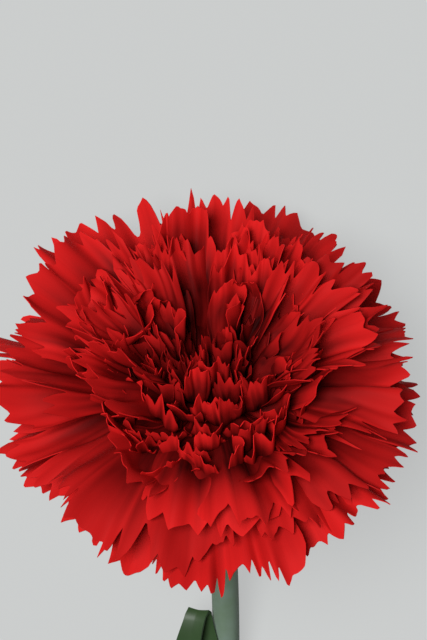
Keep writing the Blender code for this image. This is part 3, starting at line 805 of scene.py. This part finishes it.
def makeStem():
    start, end, rows = stemShape["start"], stemShape["length"], stemShape["rows"]

    def place(across, along):
        closing = min(along * rows, (1 - along) * rows, 1.0)  # both ends close to a point
        behind = start + (end - start) * min(max((along * rows - 1) / (rows - 2), 0), 1)
        middle = stemPoint(behind)
        way = (stemPoint(behind - 0.5 * mm) - stemPoint(behind + 0.5 * mm)).normalized()
        side = way.cross(Vector((0, 0, 1))).normalized()
        up = side.cross(way)
        angle = 2 * math.pi * across
        ribs = 1 + stemShape["ribShare"] * math.cos(stemShape["ribs"] * angle)
        return middle + (side * math.cos(angle) + up * math.sin(angle)) * stemRadius(behind) * ribs * closing

    stem = skin("stem", stemShape["columns"], rows, place, closedRound=True)
    finish(stem, waxyStem)
    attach(stem, "root")
    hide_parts("stem")


calyxShape = {"mouthRadius": 8.4 * mm, "footRadius": 3.9 * mm, "bellyRadius": 7.2 * mm, "wall": 0.55 * mm,
              "teeth": 5, "toothHeight": 5 * mm, "toothFoot": -4 * mm, "toothPower": 1.15, "footShare": 0.16,
              "ribs": 35, "ribHeight": 0.09 * mm, "columns": 210, "rows": 40, "rowPower": 1.4}


def makeCalyx():
    def place(across, along):
        azimuth = 2 * math.pi * across - math.pi
        fromTooth = abs((calyxShape["teeth"] * azimuth / (2 * math.pi)) % 1 - 0.5) * 2
        top = calyxShape["toothFoot"] + calyxShape["toothHeight"] * fromTooth ** calyxShape["toothPower"]
        along = along ** calyxShape["rowPower"]
        height = mix(-bloomPlace["calyxDepth"], top, along)
        foot = calyxShape["footShare"]
        risen = min(along / foot, 1)
        radius = mix(calyxShape["footRadius"], calyxShape["bellyRadius"], math.sin(risen * math.pi / 2))
        radius = mix(radius, calyxShape["mouthRadius"], max(along - foot, 0) / (1 - foot))
        radius += calyxShape["ribHeight"] * math.cos(calyxShape["ribs"] * azimuth)
        return inBloom(radius, azimuth, height)

    calyx = skin("calyx", calyxShape["columns"], calyxShape["rows"], place, calyxShape["wall"], closedRound=True)
    finish(calyx, waxyCalyx)
    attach(calyx, "root")
    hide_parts("calyx")


bractShape = {"count": 4, "firstAzimuth": 45, "reach": (9 * mm, 11 * mm), "below": 0.4 * mm, "halfAngle": 44,
              "tipHalfAngle": 0.8, "taperFrom": 0.35, "taperPower": 0.8, "footRadius": 3.3 * mm,
              "topRadius": 7.7 * mm, "bellyPower": 1.2, "flare": 0.5 * mm, "hug": 0.35 * mm, "grid": 24,
              "thickness": 0.4 * mm}


def makeBracts():
    shape = bractShape
    for number in range(shape["count"]):
        middle = math.radians(shape["firstAzimuth"] + 360 / shape["count"] * number)
        reach = shape["reach"][number % 2]

        def place(across, along, middle=middle, reach=reach):
            taper = 1 - smooth(shape["taperFrom"], 1, along) ** shape["taperPower"]
            halfAngle = math.radians(shape["halfAngle"]) * taper + math.radians(shape["tipHalfAngle"])
            azimuth = middle + (2 * across - 1) * halfAngle
            belly = math.sin(min(along * 2, 1) * math.pi / 2) ** shape["bellyPower"]
            radius = mix(shape["footRadius"], shape["topRadius"], belly) + shape["flare"] * along
            radius -= shape["hug"] * (2 * across - 1) ** 2 * (1 - along)
            height = -bloomPlace["calyxDepth"] - shape["below"] + reach * along
            return inBloom(radius, azimuth, height)

        bract = skin(f"bract{number + 1}", shape["grid"], shape["grid"], place, shape["thickness"])
        finish(bract, waxyCalyx)
        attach(bract, "root")
        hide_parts(f"bract_{number + 1}")


pistilShape = {"foot": -24.4 * mm, "length": 9 * mm, "radius": 2 * mm, "styleTop": 10 * mm,
               "styleRadius": 0.42 * mm, "overlap": 1.5 * mm, "apart": 0.55 * mm, "spread": 3 * mm, "skew": 0.4}


def makePistil():
    shape = pistilShape

    def ovaryPlace(across, along):
        angle, rise = 2 * math.pi * across, math.pi * along
        radius = shape["radius"] * math.sin(rise)
        height = shape["foot"] + shape["length"] * (0.5 - 0.5 * math.cos(rise))
        return inBloom(radius, angle, height)

    ovary = skin("pistil", 24, 20, ovaryPlace, closedRound=True)
    parts = [ovary]
    for side in (-1, 1):
        def stylePlace(across, along, side=side):
            angle = 2 * math.pi * across
            height = mix(shape["foot"] + shape["length"] - shape["overlap"], shape["styleTop"], along)
            apart = side * (shape["apart"] + shape["spread"] * max(height / shape["styleTop"], 0) ** 3)
            # both ends close to a point
            radius = shape["styleRadius"] * min(along * 40, (1 - along) * 8, 1) ** 0.5
            return bloomMatrix @ Vector((apart + radius * math.cos(angle),
                                         apart * shape["skew"] + radius * math.sin(angle), height))
        parts.append(skin(f"style{side}", 12, 40, stylePlace, closedRound=True))
    with bpy.context.temp_override(active_object=ovary, selected_editable_objects=parts):
        bpy.ops.object.join()
    finish(ovary, styleWithPaintedShade)
    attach(ovary, "root")
    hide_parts("pistil")


leafShape = {"length": 66 * mm, "halfWidth": 3.1 * mm, "footHalfWidth": 4.7 * mm, "thickness": 0.45 * mm,
             "columns": 20, "steps": 64, "lowest": 0.35 * mm, "footSpan": 0.14, "taperPower": 2.4,
             "tipShare": 0.03, "arc": (165, 50), "arcSpan": 0.16, "arcOpening": 0.6, "fold": (0.38, 0.09),
             "crease": 0.25 * mm}
# Each leaf's joint, its way out round the stem, its angles from the stem evenly spaced to its tip, its twist,
# how far it drifts to its side in mm after its first bend, and how much a fold narrows it
leafList = {
    "upper_leaf_left": (0, 72, (2, 2, 3, 3, 4, 5, 6, 9, 168, 180, 182, 182, 182, 183, 184, 188, 193, 198, 204, 210,
                                216), 0, 14, 0.3),
    "upper_leaf_right": (0, 190, (35, 75, 100, 125, 150), -70, 0, 0),
    "lower_leaf_left": (1, -12, (15, 45, 70, 90, 115), 65, 0, 0),
    "lower_leaf_right": (1, 150, (10, 30, 60, 90, 130), -50, 0, 0),
}
leafDrift = {"first": (0.25, 0.02, 0.33), "later": 0.37}


def makeLeaf(node, joint, outAngle, turns, twist, drift, pinch):
    foot = stemPoint(stemShape["joints"][joint])
    toward = (stemPoint(stemShape["joints"][joint] - 1 * mm) - foot).normalized()
    out = Vector((cosine(outAngle), 0, sine(outAngle)))
    out = (out - toward * out.dot(toward)).normalized()
    side = toward.cross(out)
    steps, lowest = leafShape["steps"], leafShape["lowest"]
    middle = foot + out * (stemShape["jointRadius"] + lowest)
    share, first, last = leafDrift["first"]
    line = [middle.copy()]
    for step in range(steps):
        part, rest = divmod((len(turns) - 1) * (step + 0.5) / steps, 1)
        angle = math.radians(mix(turns[int(part)], turns[int(part) + 1], smooth(0, 1, rest)))
        middle += (toward * math.cos(angle) + out * math.sin(angle)) * leafShape["length"] / steps
        middle.z = max(middle.z, lowest)
        gone = (step + 1) / steps
        drifted = share * smooth(first, last, gone) + max(gone - leafDrift["later"], 0)
        line.append(middle - side * drift * mm * drifted)

    def place(across, along):
        step = round(along * steps)
        ahead = (line[min(step + 1, steps)] - line[max(step - 1, 0)]).normalized()
        width = Matrix.Rotation(math.radians(twist) * along, 3, ahead) @ side
        face = width.cross(ahead).normalized()
        half = mix(leafShape["footHalfWidth"], leafShape["halfWidth"], smooth(0, leafShape["footSpan"], along))
        half *= mix(1, leafShape["tipShare"], along ** leafShape["taperPower"])
        foldAt, foldSpan = leafShape["fold"]
        folded = pinch * math.exp(-((along - foldAt) / foldSpan) ** 2)
        half *= 1 - folded
        arc = mix(*leafShape["arc"], smooth(0, leafShape["arcSpan"], along))
        arc = math.radians(arc * (1 - leafShape["arcOpening"] * along) * (1 - 2 * folded))
        bow = 2 * half / arc
        angle = (2 * across - 1) * arc / 2
        crease = leafShape["crease"] * abs(2 * across - 1) * (1 - along)
        spot = line[step] + width * bow * math.sin(angle) - face * (bow * (1 - math.cos(angle)) + crease)
        spot.z = max(spot.z, lowest)
        return spot

    leaf = skin(pieceName(node), leafShape["columns"], steps, place, leafShape["thickness"])
    finish(leaf, waxyLeaf)
    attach(leaf, "root")
    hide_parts(node)


makeStem()
makeCalyx()
makeBracts()
makePistil()
for node, settings in leafList.items():
    makeLeaf(node, *settings)
print("stem, calyx, bracts, pistil and leaves made")


# ---- floor and light

studio = {"floor": "#585a59", "glow": 0.478, "skyStrength": 0.06, "sunStrength": 4.15, "sunSpread": 28,
          "sunWay": (0.28, -0.25, 1), "floorSize": 4}


def makeFloor():
    floor = skin("floor", 1, 1, lambda across, along: Vector((across - 0.5, along - 0.5, 0)) * studio["floorSize"])
    # matt board, lit evenly from behind
    material = newMaterial("matteBoard", {
        "Base Color": linear(studio["floor"]), "Roughness": 0.9, "Specular IOR Level": 0.1,
        "Emission Color": linear("#fdffff"), "Emission Strength": studio["glow"]})[0]
    finish(floor, material)


def makeLight():
    world = bpy.data.worlds.new("softStudio")
    world.use_nodes = True
    world.node_tree.nodes["Background"].inputs["Color"].default_value = (1, 1, 1, 1)
    world.node_tree.nodes["Background"].inputs["Strength"].default_value = studio["skyStrength"]
    bpy.context.scene.world = world
    sun = bpy.data.objects.new("keyLight", bpy.data.lights.new("keyLight", "SUN"))
    sun.data.energy = studio["sunStrength"]
    sun.data.angle = math.radians(studio["sunSpread"])
    way = Vector(studio["sunWay"]).normalized()
    sun.rotation_mode = "QUATERNION"
    sun.rotation_quaternion = way.to_track_quat("Z", "Y")
    bpy.context.scene.collection.objects.link(sun)


makeFloor()
makeLight()
bpy.context.scene.view_settings.view_transform = "Standard"
print("floor and light set")
